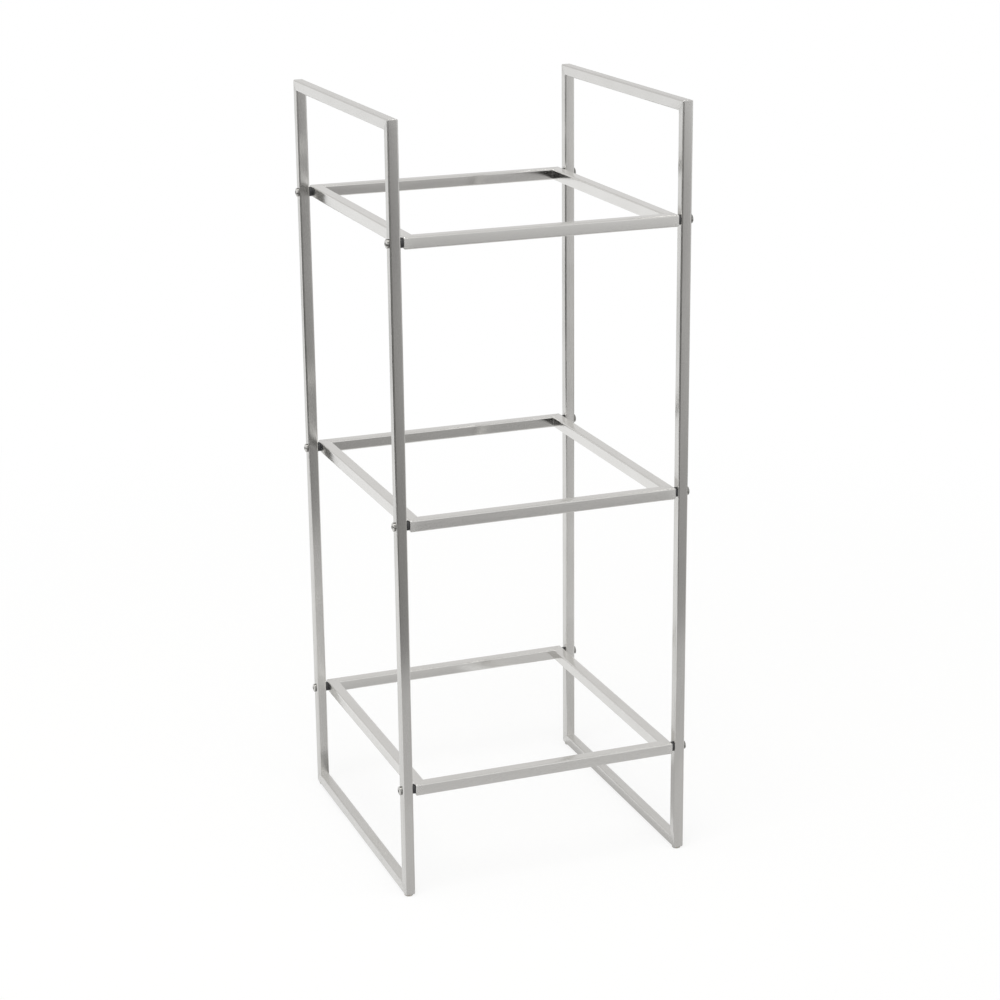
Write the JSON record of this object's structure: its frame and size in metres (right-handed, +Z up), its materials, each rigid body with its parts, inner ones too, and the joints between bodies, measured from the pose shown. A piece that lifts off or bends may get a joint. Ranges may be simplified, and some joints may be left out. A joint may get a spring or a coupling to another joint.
{
  "type": "tiered display frame",
  "caption": "Tall open display frame of polished square tube: upright side hoops with open shelf frames screwed between them at even heights, for trays or panels.",
  "frame": {"origin": "on the floor under the middle of the frame", "axes": "+Z up, -Y towards the front of the shelves, +X to the right hoop seen from the front"},
  "size_m": [0.2854, 0.281, 0.712],
  "materials": {
    "polished_tube": "polished",
    "plated_screw": "bright plated",
    "bright_bush": "turned",
    "black_spacer": "moulded",
    "nylon_glide": "moulded"
  },
  "bodies": {
    "root": {"left_front_post": "polished_tube", "left_back_post": "polished_tube", "left_top_rail": "polished_tube", "left_foot_rail": "polished_tube", "right_front_post": "polished_tube", "right_back_post": "polished_tube", "right_top_rail": "polished_tube", "right_foot_rail": "polished_tube", "bottom_shelf_front_rail": "polished_tube", "bottom_shelf_back_rail": "polished_tube", "bottom_shelf_left_rail": "polished_tube", "bottom_shelf_right_rail": "polished_tube", "middle_shelf_front_rail": "polished_tube", "middle_shelf_back_rail": "polished_tube", "middle_shelf_left_rail": "polished_tube", "middle_shelf_right_rail": "polished_tube", "top_shelf_front_rail": "polished_tube", "top_shelf_back_rail": "polished_tube", "top_shelf_left_rail": "polished_tube", "top_shelf_right_rail": "polished_tube", "shelf_screws": "plated_screw", "shelf_spacers": "black_spacer", "corner_bushes": "bright_bush", "left_front_glide": "nylon_glide", "left_back_glide": "nylon_glide", "right_front_glide": "nylon_glide", "right_back_glide": "nylon_glide"}
  },
  "joints": []
}
